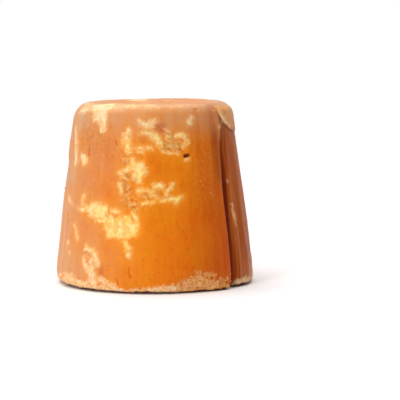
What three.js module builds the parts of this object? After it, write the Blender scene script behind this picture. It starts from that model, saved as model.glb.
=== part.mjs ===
// A one-kilogram jaggery block: thickened cane juice set in a cloth-lined bucket mould and
// turned out with the mould's narrow end up. It is one solid. Its wall keeps the creases of
// the lining cloth, a tuck that overlaps the shoulder, and shallow scars where crust chipped off.
//
// Frame: millimetres, +Z up, origin at the centre of the flat base.
// Azimuth 0 is the front (-Y) and grows towards the right (+X).

import * as THREE from "three";
import { ImprovedNoise } from "three/addons/math/ImprovedNoise.js";

// Driving dimensions.
const HEIGHT = 98.5;
const FOOT_RADIUS = 53.5;
const CROWN_RADIUS = 42; // where the wall's slope would meet the top plane
const FOOT_BAND = 9.5; // upright band that the mould's rim leaves
const FOOT_ROUNDING = 4.6;
const SHOULDER_ROUNDING = 8;

// How finely the surface is divided.
const AROUND_STEPS = 92;
const FOOT_STEPS = 5;
const WALL_STEPS = 27;
const SHOULDER_STEPS = 6;
const FLAT_STEP = 8; // widest ring spacing on the flat ends
const GATHERING = 0.45; // how strongly the columns are drawn together at the deepest crease

// The creases of the lining cloth, deepest first: azimuth in degrees, depth at the foot and at the
// shoulder, half-width before and past the crease's line, all in millimetres, and the height
// where the crease fades out.
const CREASES = [
  { azimuth: 52.5, footDepth: 4.4, topDepth: 0.7, before: 1.6, past: 6.5, fadesAt: 88 },
  { azimuth: 64, footDepth: 1.0, topDepth: 0.6, before: 2.0, past: 3.4, fadesAt: 82 },
  { azimuth: 128, footDepth: 2.6, topDepth: 0.6, before: 4.2, past: 2.2, fadesAt: 80 },
  { azimuth: 214, footDepth: 1.2, topDepth: 2.0, before: 2.2, past: 4.6, fadesAt: 90 },
  { azimuth: 287, footDepth: 1.4, topDepth: 0.2, before: 3.0, past: 2.2, fadesAt: 58 },
];
const CREASE_FADE = 12;

// The tuck: the cloth was folded double over the shoulder, so above its curved edge the block
// stands proud of the wall below. The edge runs down from the shoulder and levels out.
const TUCK = {
  azimuth: 52, // where the edge leaves the shoulder
  levelsAt: 82,
  drop: 12.5,
  dropSpan: 12, // degrees in which the edge falls by two thirds of its drop
  fadesFrom: 30, // degrees past the start
  fadesTo: 45,
  step: 0.7,
  edgeWidth: 2.4,
  setBack: 22, // how far down the wall stays set back
};

// Scars where crust chipped off: azimuth in degrees, height and half-sizes across and up in
// millimetres, and depth, which is negative where sugar stands out instead.
const SCARS = [
  { azimuth: 14, height: 77.5, across: 7.5, up: 6, deep: 1.5 }, // crumbly hollow, upper front
  { azimuth: -1, height: 80.5, across: 7.5, up: 4.5, deep: 0.7 },
  { azimuth: -14, height: 57, across: 6.5, up: 9, deep: 0.7 },
  { azimuth: -21, height: 36.5, across: 12, up: 8.5, deep: 0.9 }, // pale hollow, lower front
  { azimuth: -43, height: 92.5, across: 9, up: 7, deep: 0.8 }, // worn shoulder
  { azimuth: -39, height: 13, across: 5, up: 10, deep: -0.8 }, // crumbs stuck to the foot
  { azimuth: 24, height: 5, across: 14, up: 7, deep: 0.8 }, // broken rim
  { azimuth: -88, height: 80, across: 30, up: 15, deep: -0.7 }, // slow swell
  { azimuth: 104, height: 30, across: 9, up: 12, deep: 1.2 },
  { azimuth: 152, height: 62, across: 13, up: 9, deep: 1.5 },
  { azimuth: 176, height: 12, across: 16, up: 7, deep: 1.2 },
  { azimuth: 235, height: 44, across: 9, up: 14, deep: 1.1 },
  { azimuth: 262, height: 84, across: 9, up: 7, deep: 1.0 },
];
const SCAR_EDGE = 0.7; // share of a scar's area that its sloping edge takes

// Slow unevenness of a hand-filled mould.
const BARREL = 0.55; // how far the wall bulges at mid-height
const LEAN = -0.5; // how far the top sits off-centre along X
const WAVE_HEIGHT = 0.75;
const WAVE_LENGTH = 34;
const CROWN_SAG = 0.5; // the top sinks a little as the block cools

const { smoothstep, lerp, degToRad, radToDeg, euclideanModulo } = THREE.MathUtils;
const noise = new ImprovedNoise();

// The signed turn in degrees from one azimuth, in degrees, to another, in radians.
function turnFrom(start, azimuth) {
  return euclideanModulo(radToDeg(azimuth) - start + 180, 360) - 180;
}

function bell(distance, halfWidth) {
  return Math.exp(-((distance / halfWidth) ** 2));
}

// The wall's radius before any unevenness, at a height above the foot band.
function wallRadius(height) {
  const share = Math.max(0, height - FOOT_BAND) / (HEIGHT - FOOT_BAND);
  return lerp(FOOT_RADIUS, CROWN_RADIUS, share);
}

// A quarter arc's points in (radius, height), from one angle to another, without its first point.
function arc(centreRadius, centreHeight, rounding, from, to, steps) {
  return Array.from({ length: steps }, (_, i) => {
    const angle = lerp(from, to, (i + 1) / steps);
    const radius = centreRadius + rounding * Math.cos(angle);
    return new THREE.Vector2(radius, centreHeight + rounding * Math.sin(angle));
  });
}

// A flat ring's points at one height, from one radius to another, without its first point.
function flat(from, to, height) {
  const steps = Math.ceil(Math.abs(to - from) / FLAT_STEP);
  return Array.from({ length: steps }, (_, i) => {
    const radius = lerp(from, to, (i + 1) / steps);
    return new THREE.Vector2(radius, height);
  });
}

// The half-section, from the base's centre out, up the wall and back to the crown's centre.
function section() {
  const footCentre = FOOT_RADIUS - FOOT_ROUNDING;
  const taper = Math.atan((FOOT_RADIUS - CROWN_RADIUS) / (HEIGHT - FOOT_BAND));
  const shoulderHeight = HEIGHT - SHOULDER_ROUNDING;
  const wallTop = shoulderHeight + SHOULDER_ROUNDING * Math.sin(taper);
  const shoulderCentre = wallRadius(wallTop) - SHOULDER_ROUNDING * Math.cos(taper);
  const wall = Array.from({ length: WALL_STEPS }, (_, i) => {
    const height = lerp(FOOT_ROUNDING, wallTop, (i + 1) / WALL_STEPS);
    return new THREE.Vector2(wallRadius(height), height);
  });
  return [
    new THREE.Vector2(0, 0),
    ...flat(0, footCentre, 0),
    ...arc(footCentre, FOOT_ROUNDING, FOOT_ROUNDING, -Math.PI / 2, 0, FOOT_STEPS),
    ...wall,
    ...arc(shoulderCentre, shoulderHeight, SHOULDER_ROUNDING, taper, Math.PI / 2, SHOULDER_STEPS),
    ...flat(shoulderCentre, 0, HEIGHT),
  ];
}

// The azimuth of a column, which draws the columns together where the shape is finest.
function gathered(azimuth) {
  const middle = degToRad(CREASES[0].azimuth);
  return azimuth - GATHERING * (Math.sin(azimuth - middle) + Math.sin(middle));
}

function creaseRelief(azimuth, height) {
  const millimetresPerDegree = degToRad(1) * wallRadius(height);
  return CREASES.reduce((sum, crease) => {
    const share = Math.min(1, height / crease.fadesAt);
    const depth = lerp(crease.footDepth, crease.topDepth, share);
    const shown = 1 - smoothstep(height, crease.fadesAt - CREASE_FADE, crease.fadesAt);
    const distance = turnFrom(crease.azimuth, azimuth) * millimetresPerDegree;
    const halfWidth = distance < 0 ? crease.before : crease.past;
    return sum - depth * shown * bell(distance, halfWidth);
  }, 0);
}

function tuckRelief(azimuth, height) {
  const past = turnFrom(TUCK.azimuth, azimuth);
  const edge = TUCK.levelsAt + TUCK.drop * Math.exp(-past / TUCK.dropSpan);
  const above = smoothstep(height, edge, edge + TUCK.edgeWidth);
  const shown = smoothstep(past, 0, TUCK.dropSpan / 2) * (1 - smoothstep(past, TUCK.fadesFrom, TUCK.fadesTo));
  const proud = above * (1 - smoothstep(height, HEIGHT - SHOULDER_ROUNDING / 2, HEIGHT));
  const sunk = (1 - above) * bell(height - edge, TUCK.setBack);
  return (TUCK.step / 2) * shown * (proud - sunk);
}

function scarRelief(azimuth, height) {
  const millimetresPerDegree = degToRad(1) * wallRadius(height);
  return SCARS.reduce((sum, scar) => {
    const across = (turnFrom(scar.azimuth, azimuth) * millimetresPerDegree) / scar.across;
    const up = (height - scar.height) / scar.up;
    return sum - scar.deep * smoothstep(1 - across ** 2 - up ** 2, 0, SCAR_EDGE);
  }, 0);
}

// 1 on the wall and its roundings, and 0 on the flat ends inside them.
function wallShare(radius, height) {
  const top = height > HEIGHT / 2;
  const rim = top ? CROWN_RADIUS - SHOULDER_ROUNDING : FOOT_RADIUS - FOOT_ROUNDING;
  return smoothstep(radius, rim - FLAT_STEP * 0.7, rim);
}

// The slow unevenness, which moves the surface along its own normal but leaves the base flat.
function slowRelief(point, onWall) {
  const { x, y, z } = point;
  const wave = WAVE_HEIGHT * noise.noise(x / WAVE_LENGTH, y / WAVE_LENGTH, z / WAVE_LENGTH + 5);
  const barrel = BARREL * Math.sin((Math.PI * Math.min(z, HEIGHT)) / HEIGHT);
  const offBase = smoothstep(z, 0, FOOT_ROUNDING);
  return offBase * (wave + barrel - CROWN_SAG * (1 - onWall));
}

// Moves one point of the plain block to its place on the uneven one.
function shapePoint(point, outward, azimuth) {
  const radius = Math.hypot(point.x, point.y);
  const height = point.z;
  const onWall = wallShare(radius, height);
  const details = creaseRelief(azimuth, height) + tuckRelief(azimuth, height) + scarRelief(azimuth, height);
  point.addScaledVector(outward, slowRelief(point, onWall));
  point.x += onWall * details * Math.sin(azimuth) + LEAN * (height / HEIGHT);
  point.y -= onWall * details * Math.cos(azimuth);
}

function blockGeometry() {
  const geometry = new THREE.LatheGeometry(section(), AROUND_STEPS).rotateX(Math.PI / 2);
  const position = geometry.getAttribute("position");
  const normal = geometry.getAttribute("normal");
  const pointsPerColumn = position.count / (AROUND_STEPS + 1);
  const point = new THREE.Vector3();
  const outward = new THREE.Vector3();
  const up = new THREE.Vector3(0, 0, 1);
  for (let i = 0; i < position.count; i += 1) {
    const spun = (Math.floor(i / pointsPerColumn) / AROUND_STEPS) * 2 * Math.PI;
    const azimuth = gathered(spun);
    point.fromBufferAttribute(position, i).applyAxisAngle(up, azimuth - spun);
    outward.fromBufferAttribute(normal, i).applyAxisAngle(up, azimuth - spun);
    shapePoint(point, outward, azimuth);
    position.setXYZ(i, point.x, point.y, point.z);
  }
  geometry.computeVertexNormals();
  return geometry;
}

// Puts the origin under the middle of the block's own box, on its base.
function centred(geometry) {
  geometry.computeBoundingBox();
  const middle = geometry.boundingBox.getCenter(new THREE.Vector3());
  return geometry.translate(-middle.x, -middle.y, -geometry.boundingBox.min.z);
}

const jaggery = new THREE.MeshStandardMaterial({ color: 0xd9772a, roughness: 0.42, metalness: 0 });
const block = new THREE.Mesh(centred(blockGeometry()), jaggery);
block.name = "jaggery_block";

const part = new THREE.Group();
part.add(block);

export default part;
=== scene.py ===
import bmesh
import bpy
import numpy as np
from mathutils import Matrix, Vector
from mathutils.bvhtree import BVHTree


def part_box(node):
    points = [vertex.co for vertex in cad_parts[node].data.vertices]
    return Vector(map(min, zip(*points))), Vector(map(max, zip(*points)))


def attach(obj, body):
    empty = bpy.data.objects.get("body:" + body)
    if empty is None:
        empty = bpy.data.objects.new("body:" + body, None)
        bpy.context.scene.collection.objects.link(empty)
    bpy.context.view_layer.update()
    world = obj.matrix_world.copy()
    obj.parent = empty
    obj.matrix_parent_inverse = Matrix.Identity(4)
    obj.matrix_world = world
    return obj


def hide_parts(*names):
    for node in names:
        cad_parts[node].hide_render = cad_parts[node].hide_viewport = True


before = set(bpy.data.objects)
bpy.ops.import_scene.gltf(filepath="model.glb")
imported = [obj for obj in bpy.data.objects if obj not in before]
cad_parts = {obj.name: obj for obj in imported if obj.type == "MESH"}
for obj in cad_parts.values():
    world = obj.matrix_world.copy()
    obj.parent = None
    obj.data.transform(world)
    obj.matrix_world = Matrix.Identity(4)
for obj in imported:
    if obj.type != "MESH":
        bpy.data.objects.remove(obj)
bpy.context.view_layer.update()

# The looks of a one-kilogram jaggery block. One fine surface is cast onto the CAD block, and
# gets the relief and the colours of set cane sugar: a deep cloth crease with a tuck above it,
# streaks down the wall, cream crust that chipped and stuck, crumbly hollows, a broken pale rim
# at the foot, pores and specks. Loose grains of sugar lie on it as real mesh.
#
# Lengths in the shaping code are in millimetres. Azimuth 0 is the front (-Y) and grows towards
# the right (+X), in degrees.

NODE = "jaggery_block"
MM = 0.001

block_low, block_high = (np.array(corner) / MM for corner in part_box(NODE))
HEIGHT = block_high[2]
FOOT_RADIUS = (block_high[0] - block_low[0]) / 2
CROWN_RADIUS = 0.785 * FOOT_RADIUS
MIDDLE = np.array([0.0, 0.0, HEIGHT / 2])

# The fine surface's grid.
COLUMNS = 440
GATHERING = 0.2             # the columns lie closer together at the front
GATHER_AT = 5.0
BASE_ROWS = 20
WALL_ROWS = 166
CROWN_ROWS = 26
CURVING = 0.75              # how far a point leaves its flat facet for the rounded surface

# Marks on the front are strokes, as (azimuth, height, half-width) from end to end, judged.
# They say only roughly where each mark lies, and noise makes their ragged outlines. A half-width
# of 0 or less leaves only what the noise lifts out.
SHOULDER_CRUST = [
    [(-52, 97, 2.5), (-37, 97, 3)],
    [(-48, 95, 2.5), (-48, 91, 1.5)],
    [(-42, 96, 3.5), (-38, 86, 2)],
    [(-46, 93, 2.5), (-41, 91, 2.5)],
    [(-70, 94, 1), (-60, 95, 1)],
    [(-20, 97.4, 0.8), (1, 97.4, 0.5)],
]
LEFT_CRUST = [
    [(-71, 84, 1), (-66, 77, 1)],
    [(-66, 74, 0.8), (-65, 67, 1.2)],
    [(-56, 70, 1.5), (-53, 68, 2)],
    [(-50, 50, 0.4), (-50, 46, 0.5)],
    [(-70, 47, 0.8), (-67, 46, 0.8)],
]
UPRIGHT_CRUST = [
    [(-18, 85, 1), (-18, 80, 1.6), (-17, 74, 1)],
    [(-21, 83, 0.4), (-21, 78, 0.6)],
    [(-15, 70, 1), (-13, 68, 1.3)],
]
CHIPPED_CRUST = [
    [(-7, 88, 1.2), (-3, 88, 1.3)],
    [(-11, 90, 0.3), (-8, 89, 0.6)],
    [(-3, 89, 0.8), (1, 90, 0.4)],
    [(-8, 84, 0.8), (-3, 83, 1.5), (2, 81, 1.5), (5, 77, 1)],
    [(6, 74, 0.5), (15, 73, 0.4)],
    [(9, 84, 0.5), (10, 80, 1)],
    [(14, 82, 0.6), (20, 82, 1), (23, 79, 1), (20, 77, 0.8)],
    [(10, 77, 0.8), (17, 77, 1)],
    [(25, 89, 1), (27, 91, 0.8)],
]
THIN_ARCS = [
    [(-11, 74, 0.5), (-7, 74, 0.4)],
    [(-12, 76, 0.3), (-8, 76, 0.4)],
    [(-4, 76, 0.6), (-2, 76, 0.5)],
]
MIDDLE_CRUST = [
    [(-10, 67, 2), (-9, 64, 3), (-12, 61, 1.8)],
    [(-22, 63, 1), (-17, 65, 1.3), (-12, 65, 1.3)],
    [(-21, 60, 0.3), (-17, 60, 0.4)],
    [(-22, 57, 0.5), (-21, 53, 0.4)],
    [(-10, 60, 1), (-10, 58, 0.8)],
]
LOWER_CHAIN = [
    [(0, 56, 1), (4, 56, 1.4)],
    [(-10, 54, 0.5), (-6, 54, 0.8), (-1, 53, 1.2)],
    [(-3, 53, 0.8), (0, 51, 0.9)],
    [(11, 57, 0.5), (9, 54, 0.8), (8, 52, 1.1)],
    [(4, 49, 0.9), (12, 49, 0.8)],
    [(13, 48, 0.7), (16, 50, 0.8)],
    [(-6, 47, 0.8), (-1, 48, 1)],
]
BELLY_CRUST = [
    [(-51, 43, 1), (-43, 43, 1.6)],
    [(-42, 45, 1), (-32, 44, 2)],
    [(-42, 41, 1.5), (-34, 42, 3)],
    [(-36, 38, 1.2), (-31, 38, 2)],
    [(-31, 36, 0.8), (-28, 31, 0.8)],
    [(-27, 38, 2), (-25, 33, 3.3)],
    [(-22, 38, 2), (-21, 33, 3)],
    [(-17, 38, 2.2), (-15, 33, 3.5)],
    [(-13, 42, 0.8), (-11, 39, 1.2), (-11, 34, 1.5)],
    [(-28, 30, 0.8), (-20, 30, 1), (-12, 31, 1)],
    [(-27, 43, 0.8), (-22, 43, 0.8)],
    [(-17, 28, 0.6), (-15, 24, 0.8), (-15, 20, 0.8)],
]
FOOT_CRUST = [
    [(-44, 24, 0.5), (-43, 22, 0.5)],
    [(-44, 22, 0.6), (-38, 22, 0.8), (-35, 19, 0.8), (-34, 15, 0.6)],
    [(-44, 17, 0.8), (-42, 14, 1), (-40, 11, 1)],
    [(-38, 17, 1), (-38, 12, 1.8), (-37, 6, 2)],
    [(-32, 7, 0.8), (-28, 6, 1)],
    [(-26, 4, 1.2), (-23, 3, 1)],
]
FLECKS = [
    [(-63, 24, 0.7)],
    [(-59, 19, 0.4)],
    [(-57, 34, 0.4), (-52, 27, 0.3)],
    [(21, 70, 0.5), (23, 70, 0.4)],
    [(55, 93, 0.6), (58, 89, 0.7)],
    [(53, 86, 0.5)],
    [(57, 57, 0)],
    [(60, 44, -0.3), (61, 37, 0.1), (62, 33, -0.3)],
]
PALE = (SHOULDER_CRUST + LEFT_CRUST + UPRIGHT_CRUST + CHIPPED_CRUST + THIN_ARCS + MIDDLE_CRUST
        + LOWER_CHAIN + BELLY_CRUST + FOOT_CRUST + FLECKS)

# Thin, see-through crust lies round the pale crust, along the shoulder and in these strokes.
VEIL_REACH = 1.1
THIN_CRUST = [
    [(-70, 85, 1), (-61, 67, 2)],
    [(-69, 46, 2), (-54, 43, 1.5)],
    [(-20, 57, 2), (-16, 54, 1.5)],
    [(-43, 19, 1.5), (-38, 9, 2.5)],
]

# Crumbly, grainy sugar.
CRUMBLE = [
    [(9, 79, 2), (15, 78, 3), (21, 79, 2)],
    [(7, 76, 1), (13, 75, 1.5), (19, 75, 1)],
    [(-21, 72, 1), (-19, 69, 1.5)],
    [(-19, 62, 1), (-13, 60, 1.5)],
    [(-20, 57, 1.5), (-17, 54, 2.5)],
    [(-18, 49, 3), (-13, 47, 3.5), (-11, 44, 2)],
    [(-8, 51, 1), (-3, 50, 1)],
    [(-6, 53, 0.8), (2, 52, 0.8)],
    [(5, 50, 0.8), (12, 50, 0.8)],
    [(-69, 39, 1.5), (-65, 36, 1.5)],
    [(-42, 18, 1), (-39, 14, 1)],
]

# The deep little hole and the narrow slits, both painted dark as their shade, and places painted darker as
# shade beside chips and under crust.
PITS = [[(21, 71.5, 1), (23, 72, 1)]]
SLITS = [
    [(-50, 77, 0.2), (-49, 71, 0.3)],
    [(-27, 79, 0.3), (-26, 77, 0.3)],
    [(5, 85, 0.1), (10, 83, 0.3)],
    [(-15, 14, 0.2), (-14, 9, 0.3)],
    [(-22, 8, 0.3), (-21, 5, 0.4)],
]
SHADED_PLACES = [
    [(1, 87, 1.3), (6, 87, 1.8)],
    [(4, 85, 0.8), (10, 83, 0.8)],
    [(-50, 88, 0.8), (-44, 87, 1)],
    [(-41, 83, 0.5), (-38, 84, 0.5)],
    [(-6, 51, 0.5), (-2, 51, 0.5)],
    [(-44, 20, 0.6), (-41, 20, 0.8)],
    [(-32, 14, 1), (-31, 9, 1.2)],
]

# Broad zones, as spans of azimuth and of height.
DUSTY_ZONE = ((26, 42), (50, 90))
WRINKLED_ZONE = ((-60, -28), (70, 88))
CREASE_SIDE_SHADE_HEIGHTS = (58, 86)  # the strip of painted shade just before the deep crease

# Past these azimuths, and on the crown and the base, the crust is grown from noise.
HIDDEN_FROM = 74
HIDDEN_FULLY = 92
CRUST_SHARE = 0.36          # the higher, the less crust there is on the hidden sides

# The pale rim at the foot: its height, and where it swells or sinks, as (azimuth, spread, rise).
RIM_HEIGHT = 4.6
RIM_SWELLS = [
    (-60, 14, 3.6),
    (-14, 12, -2),
    (4, 5, 0.6),
    (28, 12, 6.4),
    (92, 16, 2),
    (150, 22, 3),
    (-150, 16, 2.5),
]
CRUMBLY_RIM = (12, 56)      # where it has broken into crumbs

PORES = 420

TANGLE = 1.5                # how far the strokes are pulled out of line
LOWEST_CROWN = 1.5          # how far below the top a level line still meets the wall

# The deepest crease and the tuck's edge, as in the CAD block.
CREASE_AZIMUTH = 52.5
CREASE_TOP = 84
TUCK_LEVEL = 82
TUCK_DROP = 12.5
TUCK_SPAN = 12

SETTLED = 0.9               # how far the wall sinks in at the left, under the shoulder and at the foot

# The folds in the crown meet here.
CROWN_GATHER = (5, -4)
CROWN_FOLDS = 8

# How far the marks stand out or are sunk, in millimetres.
UNEVEN_RELIEF = 0.12
THREAD_RELIEF = 0.04
GULLY_THREAD_RELIEF = 0.08
BAND_RELIEF = 0.22
CREASE_DEPTH = 1.6
FOLD_DEPTH = 0.45
WRINKLE_DEPTH = 0.3
SLIT_DEPTH = 0.5
CRUST_RELIEF = 0.25
VEIL_RELIEF = 0.14
CRUMB_RELIEF = 0.6
CRUMB_DEPTH = 0.35
RIM_RELIEF = 0.4
RIM_ROUGHNESS = 0.7
SOLE_DEPTH = 0.4
PIT_DEPTH = 1.1
LIP_RELIEF = 0.9
UNDER_LIP_DEPTH = 0.5

# Loose grains of sugar, sized in millimetres.
GRAINS = 4500
SMALLEST_GRAIN = 0.12
LARGEST_GRAIN = 0.65
GRAIN_SUNK = 0.4            # share of a grain's size that it is sunk by
GRAIN_SEED = 81


# --- smooth noise ---------------------------------------------------------------------------

def gradient_tables(seed):
    draw = np.random.default_rng(seed)
    order = draw.permutation(256)
    arrows = draw.normal(size=(256, 3))
    return order, arrows / np.linalg.norm(arrows, axis=1, keepdims=True)


def smooth_noise(points, cell, seed):
    """Gradient noise from about -1 to 1, with features as wide as the cell, in millimetres."""
    order, arrows = gradient_tables(seed)
    scaled = points / np.asarray(cell, float)
    corner = np.floor(scaled).astype(np.int64)
    part = scaled - corner
    ease = part ** 3 * (part * (part * 6 - 15) + 10)
    total = np.zeros(points.shape[:-1])
    for step in np.ndindex(2, 2, 2):
        node = (corner + step) & 255
        pick = order[(order[(order[node[..., 0]] + node[..., 1]) & 255] + node[..., 2]) & 255]
        weight = np.prod(np.where(np.array(step) == 1, ease, 1 - ease), axis=-1)
        total += weight * np.sum(arrows[pick] * (part - step), axis=-1)
    return total * 1.6


def layered_noise(points, cell, seed, layers=3):
    """Several layers of noise, each half as wide and half as strong as the last."""
    total = sum(smooth_noise(points, cell / 2 ** i, seed + i) / 2 ** i for i in range(layers))
    return total / sum(0.5 ** i for i in range(layers))


def soft_step(low, high, value):
    share = np.clip((value - low) / (high - low), 0, 1)
    return share * share * (3 - 2 * share)


def bell(distance, half_width):
    return np.exp(-(distance / half_width) ** 2)


# --- the fine surface -----------------------------------------------------------------------

def direction(azimuth):
    angle = np.radians(azimuth)
    return np.stack([np.sin(angle), -np.cos(angle)], axis=-1)


def cad_tree():
    """The CAD block as a search tree, with its corners and rounded normals as arrays."""
    block = bmesh.new()
    block.from_mesh(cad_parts[NODE].data)
    bmesh.ops.remove_doubles(block, verts=block.verts, dist=1e-6)
    bmesh.ops.triangulate(block, faces=block.faces)
    block.normal_update()
    block.verts.ensure_lookup_table()
    block.faces.ensure_lookup_table()
    points = np.array([vert.co for vert in block.verts]) / MM
    normals = np.array([vert.normal for vert in block.verts])
    faces = np.array([[vert.index for vert in face.verts] for face in block.faces])
    return BVHTree.FromBMesh(block), points, normals, faces


def cast(tree, starts, ways):
    """Where rays from the inside meet the CAD block, rounded off between its facets."""
    search, points, normals, faces = tree
    hits = np.zeros((len(starts), 3))
    found = np.zeros(len(starts), int)
    for i, (start, way) in enumerate(zip(starts, ways)):
        place, _, face, _ = search.ray_cast(Vector(start * MM), Vector(way))
        hits[i] = place
        found[i] = face
    hits /= MM
    corners = points[faces[found]]
    tilts = normals[faces[found]]
    sides = np.cross(np.roll(corners, -1, 1) - hits[:, None], np.roll(corners, -2, 1) - hits[:, None])
    areas = np.linalg.norm(sides, axis=2)
    shares = areas / areas.sum(axis=1, keepdims=True)
    lift = np.sum((hits[:, None] - corners) * tilts, axis=2, keepdims=True) * tilts
    rounded = np.sum(shares[..., None] * (hits[:, None] - lift), axis=1)
    return hits + CURVING * (rounded - hits)


def outline():
    """Points (radius, height) along a plain half-section, which the rays aim at."""
    base = [(FOOT_RADIUS * i / BASE_ROWS, 0.0) for i in range(1, BASE_ROWS)]
    wall = [(FOOT_RADIUS + (CROWN_RADIUS - FOOT_RADIUS) * i / WALL_ROWS, HEIGHT * i / WALL_ROWS)
            for i in range(WALL_ROWS)]
    crown = [(CROWN_RADIUS * (1 - i / CROWN_ROWS), HEIGHT) for i in range(CROWN_ROWS)]
    return np.array(base + wall + crown)


def column_azimuths():
    turn = np.arange(COLUMNS) * 360 / COLUMNS
    return turn - GATHERING * np.degrees(np.sin(np.radians(turn - GATHER_AT)))


def fine_grid(tree):
    """The fine surface as rows of points from the base to the crown."""
    section = outline()
    ways = direction(column_azimuths())
    aims = np.zeros((len(section), COLUMNS, 3))
    aims[..., :2] = section[:, None, :1] * ways[None]
    aims[..., 2] = section[:, None, 1]
    rays = (aims - MIDDLE).reshape(-1, 3)
    grid = cast(tree, np.broadcast_to(MIDDLE, rays.shape), rays).reshape(aims.shape)
    grid[..., 2] = np.maximum(grid[..., 2], 0)
    return grid


def grid_normals(grid):
    around = np.roll(grid, -1, 1) - np.roll(grid, 1, 1)
    along = np.gradient(grid, axis=0)
    normals = np.cross(around, along)
    return normals / np.linalg.norm(normals, axis=-1, keepdims=True)


# --- marks on the surface -------------------------------------------------------------------

def on_wall(tree, azimuth, height):
    """The point on the wall at an azimuth and a height."""
    way = direction(azimuth)
    level = min(height, HEIGHT - LOWEST_CROWN)
    return cast(tree, np.array([[0.0, 0.0, level]]), np.array([[way[0], way[1], 0.0]]))[0]


def stroke_depth(grid, tree, stroke):
    """How far each point lies inside a stroke, in millimetres; it is negative outside."""
    places = np.array([on_wall(tree, azimuth, height) for azimuth, height, _ in stroke])
    widths = np.array([half_width for _, _, half_width in stroke])
    if len(stroke) == 1:
        return widths[0] - np.linalg.norm(grid - places[0], axis=-1)
    depth = np.full(grid.shape[:-1], -np.inf)
    for start, end, start_width, end_width in zip(places, places[1:], widths, widths[1:]):
        line = end - start
        share = np.clip((grid - start) @ line / (line @ line), 0, 1)
        distance = np.linalg.norm(grid - start - share[..., None] * line, axis=-1)
        depth = np.maximum(depth, start_width + share * (end_width - start_width) - distance)
    return depth


def marks_depth(grid, tree, strokes):
    depth = np.full(grid.shape[:-1], -9.0)
    for stroke in strokes:
        depth = np.maximum(depth, stroke_depth(grid, tree, stroke))
    return depth


def billow(points, cell, seed):
    """Rounded lumps with narrow clefts between them, from 0 in a cleft to about 1."""
    return np.abs(smooth_noise(points, cell, seed)) + 0.5 * np.abs(smooth_noise(points, cell / 2, seed + 1))


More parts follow.
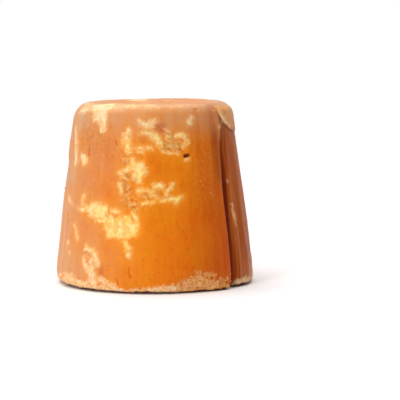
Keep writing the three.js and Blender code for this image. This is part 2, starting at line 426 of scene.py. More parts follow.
class Surface:
    """The fine surface with the fields that its relief and its colours are made from."""

    def __init__(self):
        self.tree = cad_tree()
        self.grid = fine_grid(self.tree)
        self.normals = grid_normals(self.grid)
        self.azimuth = np.degrees(np.arctan2(self.grid[..., 0], -self.grid[..., 1]))
        self.height = self.grid[..., 2]
        self.radius = np.hypot(self.grid[..., 0], self.grid[..., 1])
        self.past = (self.azimuth - CREASE_AZIMUTH + 180) % 360 - 180
        self.upward = soft_step(0.8, 0.97, self.normals[..., 2])
        self.hidden = np.maximum(soft_step(HIDDEN_FROM, HIDDEN_FULLY, np.abs(self.azimuth)), self.upward)
        self.tangled = self.grid + self.tangle()
        steepness = np.hypot(self.normals[..., 0], self.normals[..., 1])
        self.fields = {"upright": soft_step(0.55, 0.8, steepness)}

    def noise(self, cell, seed, layers=3):
        return layered_noise(self.grid, cell, seed, layers)

    def down_wall(self, width, length, seed):
        """Noise in streaks that run straight down the tapered wall."""
        around = direction(self.azimuth) * FOOT_RADIUS
        points = np.concatenate([around, self.height[..., None]], axis=-1)
        return layered_noise(points, np.array([width, width, length], float), seed, 2)

    def tangle(self):
        """A nudge along the surface at each point, which makes straight strokes crooked."""
        nudge = np.stack([self.noise(4.2, seed) for seed in (61, 64, 67)], axis=-1)
        outward = np.sum(nudge * self.normals, axis=-1, keepdims=True) * self.normals
        return TANGLE * (nudge - outward)

    def depth(self, strokes):
        return marks_depth(self.tangled, self.tree, strokes)

    def grown(self, cell, seed, share):
        """Ragged patches on the hidden sides, crown and base, as a depth in millimetres."""
        patches = layered_noise(self.tangled, np.array([0.8, 0.8, 1.2]) * cell, seed, 4)
        return np.where(self.hidden > 0, 12 * (patches - share) - 9 * (1 - self.hidden), -9)

    def mark(self):
        """Depths inside the crust, the crumble, the little hole and the slits, in millimetres."""
        cream = np.maximum(self.depth(PALE), self.grown(20, 101, CRUST_SHARE))
        veil = np.maximum(self.depth(PALE) + VEIL_REACH, self.depth(THIN_CRUST))
        stain = np.maximum(np.maximum(veil, self.shoulder_veil()), self.grown(20, 101, CRUST_SHARE - 0.14))
        crumb = np.maximum(self.depth(CRUMBLE), self.grown(17, 107, CRUST_SHARE + 0.06))
        self.fields["cream"] = cream + 0.5 * self.noise(1.9, 11) + 0.4 * self.noise(5.0, 12, 2)
        self.fields["stain"] = stain + 1.4 * self.noise(4.0, 15) + 0.8 * self.noise(1.6, 16)
        self.fields["crumb"] = crumb + 1.5 * self.noise(3.0, 21)
        self.fields["pit"] = marks_depth(self.grid, self.tree, PITS) + 0.7 * self.noise(1.6, 23)
        self.fields["slit"] = self.depth(SLITS)
        self.fields["halo"] = bell(np.minimum(self.fields["cream"], 0), 3.8)
        self.fields["lump"] = billow(self.grid, 2.1, 41)

    def shoulder_veil(self):
        """How deep each point lies in the thin crust along the shoulder, thicker at the left."""
        thick = 3.5 - 2.5 * soft_step(-34, -14, self.azimuth)
        beyond = np.maximum(np.abs(self.azimuth + 14) - 56, 0)
        inward = np.maximum(CROWN_RADIUS - 4 - self.radius, 0)
        return thick - np.abs(self.height - 97.5) - 0.5 * beyond - 0.6 * inward

    def zone(self, spans):
        """1 inside a span of azimuth and of height, falling to 0 a little way outside it."""
        (left, right), (low, high) = spans
        beside = np.maximum(left - self.azimuth, self.azimuth - right)
        above = np.maximum(low - self.height, self.height - high)
        return 1 - soft_step(-3, 5, np.maximum(beside, above) + 3 * self.noise(9, 59))

    def mark_rim(self):
        """The pale rim at the foot, where it has crumbled, and the dark line of painted contact shadow
        under it.
        """
        edge = RIM_HEIGHT
        for middle, spread, rise in RIM_SWELLS:
            edge = edge + rise * bell((self.azimuth - middle + 180) % 360 - 180, spread)
        ragged = 1.3 * self.noise(4.5, 31) + 1.0 * self.noise(1.8, 34, 2)
        depth = (edge - self.height) * 0.8 + ragged
        start, end = CRUMBLY_RIM
        crumbly = soft_step(start - 6, start + 6, self.azimuth)
        crumbly = crumbly * (1 - soft_step(end - 4, end + 4, self.azimuth))
        base = 0.2 + 2.4 * self.noise(11, 37)
        self.fields["rim"] = np.where(self.height > 0.05, depth - 2.4 * crumbly, base)
        broken = depth + 2.6 * self.noise(3.6, 39) - 2.5 * soft_step(0.1, 0.5, self.noise(7, 49))
        self.fields["crumb"] = np.maximum(self.fields["crumb"], np.where(crumbly > 0.5, broken, -9))
        # Painted contact shadow along the lowest one to two millimetres of the wall.
        self.fields["contact_shadow"] = 1 - soft_step(1.0, 2.0, self.height + 0.7 * self.noise(9, 38))

    def mark_crease(self):
        """The deepest crease with its painted shadow and a strip of painted shade before it, the brown wall
        past it that is partly painted shade, the tuck's lip with painted shade under it, and the cap above.
        """
        line = np.radians(self.past) * self.radius
        fade = 1 - soft_step(CREASE_TOP - 30, CREASE_TOP, self.height)
        groove = np.where(line < 0, bell(line, 0.7), bell(line, 2.4))
        gap = self.height - self.tuck_edge() + 0.9 * self.noise(6, 35)
        side = 1 - soft_step(22, 46, self.past)
        wall = (1 - soft_step(-1, 1, gap)) * (1 - soft_step(93, 96, self.height))
        span = soft_step(-1, 2, line) * side * (1 - soft_step(96, 98, self.height))
        self.fields["crease"] = groove * (1 - soft_step(CREASE_TOP - 14, CREASE_TOP, self.height))
        # Painted shadow in the deep crease, wider and darker low down.
        strip = soft_step(-0.3, 0.5, line) * (1 - soft_step(1.8 + fade, 3 + 1.6 * fade, line))
        self.fields["shadow"] = strip * (0.35 + 0.6 * fade) * wall
        # The wall past the crease is painted browner, partly its own colour and partly painted shade.
        self.fields["gully"] = soft_step(-0.2, 1, line) * (1 - soft_step(14, 42, self.past)) * wall
        low, high = CREASE_SIDE_SHADE_HEIGHTS
        above = soft_step(low - 5, low + 5, self.height)
        below = 1 - soft_step(high - 5, high + 5, self.height)
        # Painted shade: a darker strip on the front just before the deep crease.
        self.fields["crease_side_shade"] = 0.9 * bell(line + 5, 2.8) * above * below
        worn = 1 - 0.6 * soft_step(9, 22, self.past)
        thick = np.clip(1.5 + 1.6 * self.noise(3.0, 36), 0.4, 3)
        lumpy = np.clip(0.85 + 0.9 * self.noise(2.6, 33), 0.2, 1.3)
        self.fields["lip"] = span * worn * lumpy * bell(gap - 0.6, thick)
        # Painted shade under the tuck's lip, which is also sunk a little.
        self.fields["under_lip_shade"] = span * bell(gap + 1.2, 0.9)
        self.fields["cap"] = span * soft_step(0.6, 2.2, gap)

    def shade(self):
        """Where the amber is deeper, partly as painted shade on the right side and at shaded places; where
        it is hazy with bloom and painted sheen, lighter on the left and along the top; where it is dusty;
        and where the crust is pinker.
        """
        behind = soft_step(95, 130, np.abs(self.azimuth))
        outer = 1 - self.upward * (1 - soft_step(22, 40, self.radius))
        # Painted shade: the right side, turned from the light, is painted deeper, more so low down and less
        # at the back.
        right = soft_step(8, 50, self.azimuth) * (1 - 0.7 * behind) * outer
        left = soft_step(2, 62, -self.azimuth) * (1 - 0.6 * soft_step(84, 106, -self.azimuth)) * outer
        crown = 0.3 * self.upward * (1 - soft_step(24, 36, self.radius))
        # Painted reflection: the upper wall and the top edge are hazier, as if catching light from above,
        # less on the middle of the crown and at the back.
        top = 0.55 * soft_step(78, 92, self.height) + (0.45 - crown) * soft_step(93, 98, self.height)
        top = top * (1 - 0.4 * behind * outer)
        foot = 1 - soft_step(14, 26, self.height)
        low = 1 - soft_step(15, 70, self.height)
        clouds = self.noise(22, 51)
        patchy = 1 + 0.6 * self.noise(12, 55)
        bare = np.clip(1 - 0.6 * self.upward * soft_step(0, 0.6, self.noise(17, 52)), 0, 1)
        # Painted sheen: the left side, and more faintly the back, are hazier, as if lit from the left.
        side = 0.46 * np.maximum(left, 0.35 * behind * outer) + 0.12 * bell(self.azimuth + 74, 16) * outer
        # Painted shade at the shaded places.
        dark = soft_step(-2, 1.2, self.depth(SHADED_PLACES))
        deeper = 0.5 * self.hidden * (1 - 0.8 * self.upward) * soft_step(0, 0.6, clouds)
        # The deep field is partly painted shade, on the right side and at shaded places, and partly the
        # amber's own deeper clouds.
        deep = right * (0.66 + 0.24 * low) + 0.28 * clouds + deeper
        self.fields["deep"] = np.clip(np.maximum(deep, 0.95 * dark), 0, 1)
        # Haze here is partly a real whitish bloom and partly painted sheen and reflection.
        bloom_and_sheen = (side + 0.8 * top * bare * (1 - side)) * patchy
        # A little more bloom and painted sheen on the upper front.
        front = 0.16 * bell(self.azimuth + 4, 26) * bell(self.height - 86, 9)
        front += 0.13 * bell(self.azimuth + 32, 16) * bell(self.height - 76, 12)
        self.fields["bloom_and_sheen"] = np.clip(bloom_and_sheen + 0.1 * foot * left + front, 0, 0.9)
        upper = 0.22 * soft_step(46, 54, self.height)
        blush = 0.12 + 0.8 * self.fields["gully"] + upper + 1.2 * top + 1.1 * side + 0.8 * foot
        blush = blush + 0.35 * self.noise(5, 57)
        self.fields["blush"] = np.clip(blush, 0, 1)
        self.fields["dusty"] = self.zone(DUSTY_ZONE)
        elsewhere = self.hidden * soft_step(0.1, 0.5, self.noise(26, 58))
        self.fields["wrinkle"] = np.maximum(self.zone(WRINKLED_ZONE), elsewhere)

    def crown_folds(self):
        """Folds that the gathered cloth left in the crown, running in to a point off the middle."""
        across = self.grid[..., 0] - CROWN_GATHER[0]
        along = self.grid[..., 1] - CROWN_GATHER[1]
        away = np.hypot(across, along)
        turn = np.degrees(np.arctan2(across, -along)) + 26 * self.noise(18, 91, 3)
        draw = np.random.default_rng(95)
        depth = np.zeros(turn.shape)
        for fold in range(CROWN_FOLDS):
            middle = (fold + draw.uniform(-0.35, 0.35)) * 360 / CROWN_FOLDS
            reach = draw.uniform(20, 46)
            strength = draw.uniform(0.35, 1.0)
            gap = np.radians((turn - middle + 180) % 360 - 180) * away
            depth += strength * bell(gap, 0.8 + 0.02 * away) * (1 - soft_step(reach - 12, reach, away))
        return depth * soft_step(3, 11, away) * self.upward

    def pores(self):
        """Small round holes left by bubbles, in millimetres of depth."""
        draw = np.random.default_rng(71)
        flat = self.grid.reshape(-1, 3)
        depth = np.zeros(len(flat))
        for index in draw.integers(0, len(flat), PORES):
            size = draw.uniform(0.4, 0.9)
            near = np.flatnonzero(np.abs(flat - flat[index]).max(axis=1) < 3 * size)
            away = np.linalg.norm(flat[near] - flat[index], axis=1)
            depth[near] += 0.45 * size * bell(away, size)
        return depth.reshape(self.azimuth.shape)

    def tuck_edge(self):
        return TUCK_LEVEL + TUCK_DROP * np.exp(-(self.past + 0.5) / TUCK_SPAN)

    def relief(self):
        """How far each point moves outward from the CAD block, in millimetres."""
        fields = self.fields
        wall = fields["upright"]
        threads = self.down_wall(1.8, 45, 2)
        bands = self.down_wall(7, 90, 5)
        thread_relief = THREAD_RELIEF + GULLY_THREAD_RELIEF * fields["gully"]
        relief = UNEVEN_RELIEF * self.noise(8.0, 1) + wall * thread_relief * threads
        relief += BAND_RELIEF * wall * bands
        relief -= SETTLED * bell(self.azimuth + 90, 45) * soft_step(40, 68, self.height)
        relief -= SETTLED * bell(self.azimuth + 85, 30) * (1 - soft_step(1, 8, self.height))
        relief -= CREASE_DEPTH * fields["crease"]
        relief -= FOLD_DEPTH * self.crown_folds()
        relief -= WRINKLE_DEPTH * fields["wrinkle"] * bell(self.noise(3.4, 47, 2), 0.12)
        relief -= SLIT_DEPTH * soft_step(-0.5, 0.3, fields["slit"])
        relief += CRUST_RELIEF * soft_step(-0.4, 0.5, fields["cream"]) * (1 + self.noise(2.2, 44, 2))
        relief += VEIL_RELIEF * soft_step(-0.2, 0.8, fields["stain"]) * self.noise(2.0, 43)
        relief += soft_step(-0.3, 1.2, fields["crumb"]) * (CRUMB_RELIEF * fields["lump"] - CRUMB_DEPTH)
        relief -= self.pores()
        rough = RIM_RELIEF + RIM_ROUGHNESS * self.noise(2.4, 45)
        relief += soft_step(-0.3, 0.8, fields["rim"]) * rough
        relief -= SOLE_DEPTH * fields["contact_shadow"]
        relief -= PIT_DEPTH * soft_step(-0.5, 0.8, fields["pit"])
        relief += LIP_RELIEF * fields["lip"] - UNDER_LIP_DEPTH * fields["under_lip_shade"]
        # The cavity field is used to paint shade into sunken places.
        fields["cavity"] = self.cavity(relief)
        return relief * soft_step(0, 0.4, self.height)

    def cavity(self, relief):
        """How deep each point lies below its surroundings, from 0 to 1."""
        level = relief
        for _ in range(5):
            beside = np.roll(level, 1, 1) + np.roll(level, -1, 1)
            padded = np.pad(level, ((1, 1), (0, 0)), mode="edge")
            level = (2 * level + beside + padded[:-2] + padded[2:]) / 6
        return soft_step(0.03, 0.3, level - relief)

    def shaped(self):
        moved = self.grid + self.normals * self.relief()[..., None]
        moved[..., 2] = np.maximum(moved[..., 2], 0)
        return moved


def surface_mesh(name, shaped, layers):
    rows = shaped.shape[0]
    points = np.concatenate([shaped.reshape(-1, 3), [[0, 0, 0]], [shaped[-1].mean(axis=0)]])
    index = np.arange(rows * COLUMNS).reshape(rows, COLUMNS)
    beside = np.roll(index, -1, 1)
    quads = np.stack([index[:-1], beside[:-1], beside[1:], index[1:]], axis=-1).reshape(-1, 4).tolist()
    foot, top = rows * COLUMNS, rows * COLUMNS + 1
    fans = [[foot, b, a] for a, b in zip(index[0].tolist(), beside[0].tolist())]
    fans += [[top, a, b] for a, b in zip(index[-1].tolist(), beside[-1].tolist())]
    mesh = bpy.data.meshes.new(name)
    mesh.from_pydata((points * MM).tolist(), [], quads + fans)
    mesh.polygons.foreach_set("use_smooth", [True] * len(mesh.polygons))
    for layer, values in layers.items():
        flat = values.ravel()
        attribute = mesh.attributes.new(layer, "FLOAT", "POINT")
        attribute.data.foreach_set("value", np.concatenate([flat, [values[0].mean(), values[-1].mean()]]))
    mesh.update()
    piece = bpy.data.objects.new(name, mesh)
    bpy.context.scene.collection.objects.link(piece)
    return piece


def crumb_mould():
    """A ball of twenty faces, which every crumb is shaped from."""
    ball = bmesh.new()
    bmesh.ops.create_icosphere(ball, subdivisions=1, radius=1)
    corners = np.array([vert.co for vert in ball.verts])
    faces = [tuple(vert.index for vert in face.verts) for face in ball.faces]
    ball.free()
    return corners, faces


def crumb_shape(draw, mould):
    """One lopsided crumb with flat faces, as corners."""
    corners = mould * draw.uniform(0.62, 1.15, (len(mould), 1)) * draw.uniform(0.6, 1.2, 3)
    spin, _ = np.linalg.qr(draw.normal(size=(3, 3)))
    if np.linalg.det(spin) < 0:
        spin[0] *= -1
    return corners @ spin.T


def scatter(name, shaped, chance):
    """Crumbs stuck half into the surface, more of them where the chance is higher."""
    draw = np.random.default_rng(GRAIN_SEED)
    normals = grid_normals(shaped).reshape(-1, 3)
    flat = shaped.reshape(-1, 3)
    weight = chance.ravel() / chance.sum()
    mould, sides = crumb_mould()
    points, faces = [], []
    for index in draw.choice(len(flat), GRAINS, p=weight):
        size = SMALLEST_GRAIN + (LARGEST_GRAIN - SMALLEST_GRAIN) * draw.random() ** 3
        start = len(mould) * len(points)
        spot = flat[index] + draw.normal(0, 0.25, 3) - normals[index] * size * GRAIN_SUNK
        placed = spot + crumb_shape(draw, mould) * size
        placed[:, 2] = np.maximum(placed[:, 2], 0)
        points.append(placed)
        faces += [tuple(start + corner for corner in side) for side in sides]
    mesh = bpy.data.meshes.new(name)
    mesh.from_pydata((np.concatenate(points) * MM).tolist(), [], faces)
    mesh.update()
    piece = bpy.data.objects.new(name, mesh)
    bpy.context.scene.collection.objects.link(piece)
    return piece


# --- materials ------------------------------------------------------------------------------

def linear(red, green, blue):
    def channel(value):
        share = value / 255
        return share / 12.92 if share <= 0.04045 else ((share + 0.055) / 1.055) ** 2.4
    return (channel(red), channel(green), channel(blue), 1.0)


AMBER = linear(226, 128, 14)
AMBER_WARM = linear(224, 118, 16)
AMBER_RED = linear(224, 100, 8)
AMBER_PALE = linear(236, 142, 28)
# Deeper amber: the amber's own deeper clouds, and painted shade on the right side, at shaded places and in
# slits.
AMBER_DEEP_AND_SHADE = linear(193, 69, 0)
AMBER_DARK = linear(178, 60, 0)
# Painted shade just before the deep crease.
CREASE_SIDE_SHADE = linear(172, 80, 8)
WRINKLE_BROWN = linear(196, 106, 40)
# Whitish tint of the bloom and of the painted sheen and reflection.
BLOOM_AND_SHEEN_TINT = linear(206, 162, 124)
# Painted shadow in the deep crease.
CREASE_SHADOW_MAROON = linear(118, 26, 4)
# Painted contact shadow at the foot.
CONTACT_SHADOW = linear(92, 18, 4)
# Painted shade in the little hole.
HOLE_SHADE = linear(112, 32, 2)
# The wall past the deep crease, partly its own browner colour and partly painted shade; the dark brown also
# paints the shade under the tuck's lip.
GULLY = linear(184, 88, 22)
GULLY_DARK_AND_SHADE = linear(132, 44, 6)
GULLY_PALE = linear(216, 128, 62)
CAP = linear(252, 184, 104)
GOLD = linear(242, 172, 74)
CREAM = linear(248, 214, 122)
CREAM_BRIGHT = linear(250, 226, 140)
CREAM_DEEP = linear(244, 190, 86)
CREAM_PIT = linear(226, 146, 52)
PALE_PEACH = linear(242, 212, 168)
PEACH = linear(238, 188, 132)
# Painted shade in the clefts of the crumbly sugar and in sunken places of the dry sugar.
CLEFT_SHADE = linear(216, 104, 20)
LIP = linear(248, 200, 146)
SPECK = linear(240, 156, 66)
DUST = linear(224, 132, 66)
GRAIN_GOLD = linear(236, 146, 58)
GRAIN_PALE = linear(248, 194, 116)

# Settings that are the same all over a material.
AMBER_SURFACE = {
    "Subsurface Weight": 0.3,
    "Subsurface Radius": (1.0, 0.35, 0.1),
    "Subsurface Scale": 0.002,
    "Specular IOR Level": 0.25,
    "Specular Tint": (1.0, 0.6, 0.25, 1.0),
    "Sheen Weight": 0.1,
    "Sheen Roughness": 0.35,
    "Sheen Tint": (1.0, 0.8, 0.72, 1.0),
}
GRAIN_SURFACE = {
    "Roughness": 0.6,
    "Subsurface Weight": 0.4,
    "Subsurface Radius": (1.0, 0.45, 0.15),
    "Subsurface Scale": 0.001,
    "Specular IOR Level": 0.25,
}


class Nodes:
    """A short way to write a material's nodes."""

    def __init__(self, name):
        self.material = bpy.data.materials.new(name)
        self.material.use_nodes = True
        self.tree = self.material.node_tree
        self.shader = self.tree.nodes["Principled BSDF"]

    def add(self, kind, inputs=None, **settings):
        node = self.tree.nodes.new(kind)
        for key, value in settings.items():
            setattr(node, key, value)
        for key, value in (inputs or {}).items():
            self.put(node.inputs[key], value)
        return node

    def put(self, socket, value):
        if isinstance(value, bpy.types.NodeSocket):
            self.tree.links.new(value, socket)
        else:
            socket.default_value = value

    def attribute(self, name):
        return self.add("ShaderNodeAttribute", attribute_name=name).outputs["Fac"]

    def math(self, operation, first, second=0.0):
        return self.add("ShaderNodeMath", {0: first, 1: second}, operation=operation).outputs[0]

    def times(self, first, second):
        return self.math("MULTIPLY", first, second)

    def step(self, value, low, high, start=0.0, end=1.0):
        node = self.add("ShaderNodeMapRange", {0: value, 1: low, 2: high, 3: start, 4: end},
                        interpolation_type="SMOOTHSTEP")
        return node.outputs[0]

    def crossing(self, value, width):
        """Thin lines: 1 where the value passes one half, down to 0 that width away."""
        away = self.math("ABSOLUTE", self.math("SUBTRACT", value, 0.5))
        return self.step(away, 0, width, 1, 0)

    def dots(self, size, low, high):
        """Small round specks, one near the middle of most cells of that size in millimetres."""
        place = self.add("ShaderNodeTexCoord").outputs["Object"]
        cells = self.add("ShaderNodeTexVoronoi", {"Vector": place, "Scale": 1 / (size * MM)})
        chosen = self.step(cells.outputs["Color"], 0.3, 0.7)
        return self.times(chosen, self.step(cells.outputs["Distance"], low, high, 1, 0))

    def surface(self, settings):
        """Sets the shader's own sockets."""
        for name, value in settings.items():
            self.put(self.shader.inputs[name], value)

    def mix(self, share, first, second):
        node = self.add("ShaderNodeMix", data_type="RGBA")
        self.put(node.inputs[0], share)
        self.put(node.inputs[6], first)
        self.put(node.inputs[7], second)
        return node.outputs[2]

    def vector(self, operation, first, second=(0, 0, 0)):
        return self.add("ShaderNodeVectorMath", {0: first, 1: second}, operation=operation).outputs[0]

    def streaks(self, width, length, detail=2.0):
        """Noise in streaks that run straight down the tapered wall, in millimetres."""
        place = self.add("ShaderNodeTexCoord").outputs["Object"]
        outward = self.vector("NORMALIZE", self.vector("MULTIPLY", place, (1, 1, 0)))
        around = self.vector("MULTIPLY", outward, (FOOT_RADIUS * MM, FOOT_RADIUS * MM, 0))
        moved = self.vector("ADD", around, self.vector("MULTIPLY", place, (0, 0, width / length)))
        inputs = {"Vector": moved, "Scale": 1 / (width * MM), "Detail": detail, "Roughness": 0.5}
        return self.add("ShaderNodeTexNoise", inputs).outputs["Fac"]

    def noise(self, size, detail=3.0, rough=0.55, stretch=(1, 1, 1)):
        place = self.add("ShaderNodeTexCoord").outputs["Object"]
        scaled = self.add("ShaderNodeMapping", {"Vector": place, "Scale": stretch}).outputs[0]
        inputs = {"Vector": scaled, "Scale": 1 / (size * MM), "Detail": detail, "Roughness": rough}
        return self.add("ShaderNodeTexNoise", inputs).outputs["Fac"]


def amber_colour(nodes, mottle):
    """Clear amber, with broad bands, redder and paler clouds, deeper amber that is partly painted shade, a
    strip of painted shade before the deep crease, bloom with a painted sheen, and dust-fine specks.
    """
    broad = nodes.noise(18.0, 3.0)
    bands = nodes.streaks(6.5, 93)
    threads = nodes.streaks(1.7, 34)
    clouds = nodes.noise(7.0, 3.0, 0.55, (1, 1, 0.6))
    small = nodes.noise(2.2, 4.0, 0.65, (1, 1, 0.7))
    specks = nodes.math("MAXIMUM", nodes.dots(1.3, 0.08, 0.24), nodes.dots(2.1, 0.06, 0.16))
    upright = nodes.attribute("upright")
    deep = nodes.attribute("deep")
    bloom_and_sheen = nodes.times(nodes.attribute("bloom_and_sheen"), nodes.step(mottle, 0.25, 0.75, 0.75, 1.1))
    banded = nodes.times(upright, nodes.step(bands, 0.35, 0.65, -0.2, 0.1))
    bloom_and_sheen = nodes.times(bloom_and_sheen, nodes.math("ADD", banded, 1.0))
    colour = nodes.mix(nodes.step(broad, 0.35, 0.65), AMBER, AMBER_WARM)
    colour = nodes.mix(nodes.step(clouds, 0.54, 0.7, 0, 0.5), colour, AMBER_RED)
    # Deeper amber: painted shade on the right side and at shaded places, with the amber's own deeper
    # clouds.
    colour = nodes.mix(deep, colour, AMBER_DEEP_AND_SHADE)
    banding = nodes.times(upright, nodes.step(bands, 0.45, 0.7, 0, 0.4))
    colour = nodes.mix(banding, colour, AMBER_PALE)
    colour = nodes.mix(nodes.step(small, 0.52, 0.72, 0, 0.34), colour, AMBER_DARK)
    halo = nodes.times(nodes.attribute("halo"), nodes.step(clouds, 0.35, 0.6, 0.25, 0.8))
    colour = nodes.mix(halo, colour, AMBER_PALE)
    threading = nodes.times(upright, nodes.step(threads, 0.52, 0.75, 0, 0.15))
    colour = nodes.mix(threading, colour, AMBER_PALE)
    # Painted shade just before the deep crease.
    colour = nodes.mix(nodes.attribute("crease_side_shade"), colour, CREASE_SIDE_SHADE)
    # Bloom and painted sheen, lighter on the left side and along the top.
    colour = nodes.mix(bloom_and_sheen, colour, BLOOM_AND_SHEEN_TINT)
    cracks = nodes.crossing(nodes.noise(1.8, 3.0, 0.6), 0.08)
    lines = nodes.times(nodes.attribute("wrinkle"), cracks)
    colour = nodes.mix(nodes.times(lines, 0.4), colour, WRINKLE_BROWN)
    dust_share = nodes.times(nodes.attribute("dusty"), 0.4)
    dusty = nodes.math("ADD", nodes.step(broad, 0.4, 0.65, 0.35, 0.8), dust_share)
    dust = nodes.times(specks, dusty)
    powder = nodes.step(nodes.noise(1.5, 3.0, 0.6), 0.5, 0.66)
    bloom = nodes.times(nodes.attribute("dusty"), powder)
    colour = nodes.mix(nodes.times(bloom, 0.5), colour, DUST)
    return nodes.mix(dust, colour, SPECK)


def gully_colour(nodes):
    """The brown, streaky wall past the deep crease, partly its own browner colour and partly painted shade.
    """
    streaks = nodes.streaks(1.6, 60, 1.0)
    broad = nodes.streaks(8, 45)
    dark = nodes.step(broad, 0.4, 0.6, 0.2, 0.75)
    dark = nodes.times(nodes.step(streaks, 0.48, 0.66), dark)
    pale = nodes.step(broad, 0.4, 0.6, 0.8, 0.1)
    pale = nodes.times(nodes.step(streaks, 0.3, 0.42, 1, 0), pale)
    return nodes.mix(pale, nodes.mix(dark, GULLY, GULLY_DARK_AND_SHADE), GULLY_PALE)


def crust_colour(nodes, mottle, edge, blush):
    """Pale crust: yellow cream on the wall, and pinker at the shoulder and the foot."""
    bars = nodes.noise(3.2, 2.0, 0.5, (1, 1, 0.35))
    grain = nodes.noise(1.1, 3.0, 0.6)
    pale = nodes.mix(blush, nodes.mix(nodes.step(bars, 0.42, 0.62), CREAM, CREAM_BRIGHT), PALE_PEACH)
    deep = nodes.mix(blush, CREAM_DEEP, PEACH)
    colour = nodes.mix(nodes.step(mottle, 0.42, 0.56), deep, pale)
    colour = nodes.mix(nodes.step(grain, 0.52, 0.68, 0, 0.6), colour, deep)
    return nodes.mix(nodes.step(edge, 0.59, 0.7, 0, 0.7), colour, CREAM_PIT)


def crumb_colour(nodes, blush):
    """Crumbly sugar: golden lumps with pale tops and warm clefts between them, the clefts painted as shade.
    """
    bits = nodes.noise(1.7, 3.0, 0.6)
    gold = nodes.mix(blush, GOLD, PEACH)
    colour = nodes.mix(nodes.step(bits, 0.38, 0.52), CLEFT_SHADE, gold)
    return nodes.mix(nodes.step(bits, 0.58, 0.66, 0, 0.85), colour, nodes.mix(blush, CREAM, PALE_PEACH))


def jaggery_material():
    nodes = Nodes("jaggery_amber")
    fine = nodes.noise(0.9, 3.0, 0.65)
    mottle = nodes.noise(3.4, 4.0, 0.6)
    edge = nodes.noise(1.8, 4.0, 0.65)
    ragged = nodes.times(nodes.math("SUBTRACT", edge, 0.5), 4.5)
    blush = nodes.attribute("blush")

    def share(name, low, high, most=1.0):
        return nodes.step(nodes.math("ADD", nodes.attribute(name), ragged), low, high, 0, most)

    stain = share("stain", -0.9, 2.4, 0.55)
    rim = share("rim", -0.5, 0.9, 0.95)
    crumb = share("crumb", -0.8, 1.6, 0.85)
    thin = share("cream", -1.7, 0.3, 0.8)
    cream = share("cream", -0.4, 0.7, 0.96)

    crust = crust_colour(nodes, mottle, edge, blush)
    golden = nodes.mix(blush, GOLD, PEACH)
    # The wall past the deep crease, partly painted shade.
    colour = nodes.mix(nodes.attribute("gully"), amber_colour(nodes, mottle), gully_colour(nodes))
    cap = nodes.times(nodes.attribute("cap"), nodes.step(mottle, 0.38, 0.6, 0.25, 0.7))
    colour = nodes.mix(cap, colour, CAP)
    colour = nodes.mix(stain, colour, golden)
    colour = nodes.mix(rim, colour, crust)
    colour = nodes.mix(crumb, colour, crumb_colour(nodes, blush))
    colour = nodes.mix(thin, colour, golden)
    colour = nodes.mix(cream, colour, crust)
    dry = nodes.math("MAXIMUM", nodes.math("MAXIMUM", rim, crumb), cream)
    # Painted shade: clefts between the crumb's lumps, and places sunk below their surroundings in dry
    # sugar, take the warm cleft colour.
    cleft = nodes.times(crumb, nodes.step(nodes.attribute("lump"), 0.04, 0.3, 0.85, 0))
    sunk = nodes.times(dry, nodes.times(nodes.attribute("cavity"), 0.75))
    colour = nodes.mix(nodes.math("MAXIMUM", cleft, sunk), colour, CLEFT_SHADE)
    colour = nodes.mix(nodes.step(nodes.attribute("lip"), 0.2, 0.7, 0, 0.85), colour, LIP)
    # Painted shade under the tuck's lip.
    colour = nodes.mix(nodes.step(nodes.attribute("under_lip_shade"), 0.3, 0.9, 0, 0.7), colour, GULLY_DARK_AND_SHADE)
    # Painted shade in the narrow slits and in the little hole.
    colour = nodes.mix(nodes.step(nodes.attribute("slit"), -0.6, 0.4, 0, 0.8), colour, AMBER_DEEP_AND_SHADE)
    colour = nodes.mix(nodes.step(nodes.attribute("pit"), -0.5, 0.4, 0, 0.95), colour, HOLE_SHADE)
    # Painted shadow in the deep crease.
    colour = nodes.mix(nodes.attribute("shadow"), colour, CREASE_SHADOW_MAROON)
    # Painted contact shadow at the foot.
    colour = nodes.mix(nodes.step(nodes.attribute("contact_shadow"), 0.3, 0.8, 0, 0.85), colour, CONTACT_SHADOW)
    nodes.put(nodes.shader.inputs["Base Color"], colour)

    nodes.put(nodes.shader.inputs["Roughness"], nodes.step(dry, 0, 1, 0.45, 0.85))
    nodes.surface(AMBER_SURFACE)

    height = nodes.times(fine, nodes.step(dry, 0, 1, 0.35, 1.0))
    bump = nodes.add("ShaderNodeBump", {"Height": height, "Strength": 0.5, "Distance": 0.00025})
    nodes.put(nodes.shader.inputs["Normal"], bump.outputs[0])
    return nodes.material


def grain_material():
    nodes = Nodes("sugar_grain")
    tone = nodes.noise(2.5, 2.0)
    colour = nodes.mix(nodes.step(tone, 0.48, 0.64), GRAIN_GOLD, GRAIN_PALE)
    nodes.put(nodes.shader.inputs["Base Color"], colour)
    nodes.surface(GRAIN_SURFACE)
    fine = nodes.noise(0.2, 2.0)
    bump = nodes.add("ShaderNodeBump", {"Height": fine, "Strength": 0.4, "Distance": 0.0001})
    nodes.put(nodes.shader.inputs["Normal"], bump.outputs[0])
    return nodes.material


# --- stage ----------------------------------------------------------------------------------

WHITE = (1.0, 1.0, 1.0, 1.0)
FLOOR_RADIUS = 0.55
WORLD_BRIGHT_SIDE = (-0.2, 0.7, 0.6)
WORLD_DARK = 0.05
WORLD_BRIGHT = 0.5
TOP_LIGHT = {"place": (-0.15, 0.15, 1.6), "size": 1.8, "power": 27}
KEY_LIGHT = {"place": (-0.68, -1.15, 0.6), "size": 0.5, "power": 9.7}
CAMERA_PLACE = Vector((0.0, -1.005, 0.139))
CAMERA_AIM = Vector((0.025, 0.0, 0.0444))
CAMERA_LENS = 166.1
CAMERA_SENSOR = 36.0


def plain_material(name, colour, roughness):
    nodes = Nodes(name)
    nodes.put(nodes.shader.inputs["Base Color"], colour)
    nodes.put(nodes.shader.inputs["Roughness"], roughness)
    return nodes.material


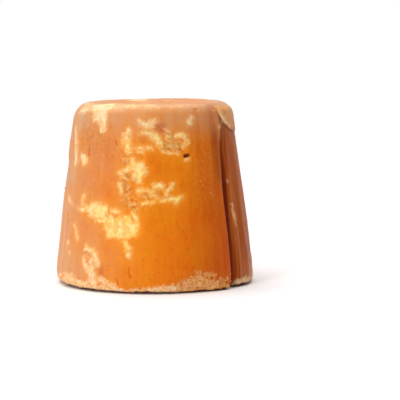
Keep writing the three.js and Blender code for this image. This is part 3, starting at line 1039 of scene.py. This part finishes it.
def add_floor():
    rim = [(FLOOR_RADIUS * x, FLOOR_RADIUS * y, 0) for x, y in direction(np.arange(0, 360, 4)).tolist()]
    mesh = bpy.data.meshes.new("floor")
    mesh.from_pydata(rim, [], [list(range(len(rim)))])
    floor = bpy.data.objects.new("floor", mesh)
    bpy.context.scene.collection.objects.link(floor)
    mesh.materials.append(plain_material("floor_white", (0.9, 0.9, 0.9, 1), 0.8))


def add_light(name, place, size, power):
    lamp = bpy.data.lights.new(name, "AREA")
    lamp.shape = "DISK"
    lamp.size = size
    lamp.energy = power
    light = bpy.data.objects.new(name, lamp)
    light.location = place
    aim = Vector((0, 0, HEIGHT / 2 * MM)) - light.location
    light.rotation_euler = aim.to_track_quat("-Z", "Y").to_euler()
    bpy.context.scene.collection.objects.link(light)


def add_world():
    """Soft light that is brighter behind and above the block than in front; it is seen as white."""
    world = bpy.data.worlds.new("studio")
    bpy.context.scene.world = world
    world.use_nodes = True
    tree = world.node_tree
    place = tree.nodes.new("ShaderNodeTexCoord")
    turn = tree.nodes.new("ShaderNodeVectorMath")
    turn.operation = "DOT_PRODUCT"
    turn.inputs[1].default_value = WORLD_BRIGHT_SIDE
    ramp = tree.nodes.new("ShaderNodeMapRange")
    for key, value in zip((1, 2, 3, 4), (-0.6, 0.8, WORLD_DARK, WORLD_BRIGHT)):
        ramp.inputs[key].default_value = value
    soft = tree.nodes["Background"]
    soft.inputs["Color"].default_value = WHITE
    shown = tree.nodes.new("ShaderNodeBackground")
    shown.inputs["Color"].default_value = WHITE
    path = tree.nodes.new("ShaderNodeLightPath")
    blend = tree.nodes.new("ShaderNodeMixShader")
    tree.links.new(place.outputs["Generated"], turn.inputs[0])
    tree.links.new(turn.outputs["Value"], ramp.inputs[0])
    tree.links.new(ramp.outputs[0], soft.inputs["Strength"])
    tree.links.new(path.outputs["Is Camera Ray"], blend.inputs[0])
    tree.links.new(soft.outputs[0], blend.inputs[1])
    tree.links.new(shown.outputs[0], blend.inputs[2])
    tree.links.new(blend.outputs[0], tree.nodes["World Output"].inputs["Surface"])


def add_camera():
    camera = bpy.data.objects.new("camera", bpy.data.cameras.new("camera"))
    camera.location = CAMERA_PLACE
    camera.rotation_euler = (CAMERA_AIM - CAMERA_PLACE).to_track_quat("-Z", "Y").to_euler()
    camera.data.lens = CAMERA_LENS
    camera.data.sensor_width = CAMERA_SENSOR
    bpy.context.scene.collection.objects.link(camera)
    bpy.context.scene.camera = camera


# --- the pieces -----------------------------------------------------------------------------

def add_block(surface, shaped):
    block = surface_mesh("block_surface", shaped, surface.fields)
    block.data.materials.append(jaggery_material())
    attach(block, "root")
    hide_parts(NODE)


def grain_chance(surface):
    """Where grains lie: on the crumble, fewer on the rim, and hardly any elsewhere."""
    crumb = soft_step(-0.5, 0.5, surface.fields["crumb"])
    rim = soft_step(-0.5, 0.5, surface.fields["rim"])
    clear = (surface.height > 0.8) & (surface.fields["pit"] < -1)
    return np.where(clear, 0.002 + crumb + 0.15 * rim, 0)


def add_grains(surface, shaped):
    grains = scatter("sugar_grains", shaped, grain_chance(surface))
    grains.data.materials.append(grain_material())
    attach(grains, "root")


surface = Surface()
surface.mark()
surface.mark_rim()
surface.mark_crease()
surface.shade()
shaped = surface.shaped()
add_block(surface, shaped)
add_grains(surface, shaped)

add_floor()
add_world()
add_light("top", **TOP_LIGHT)
add_light("key", **KEY_LIGHT)
add_camera()
bpy.context.scene.view_settings.view_transform = "Standard"
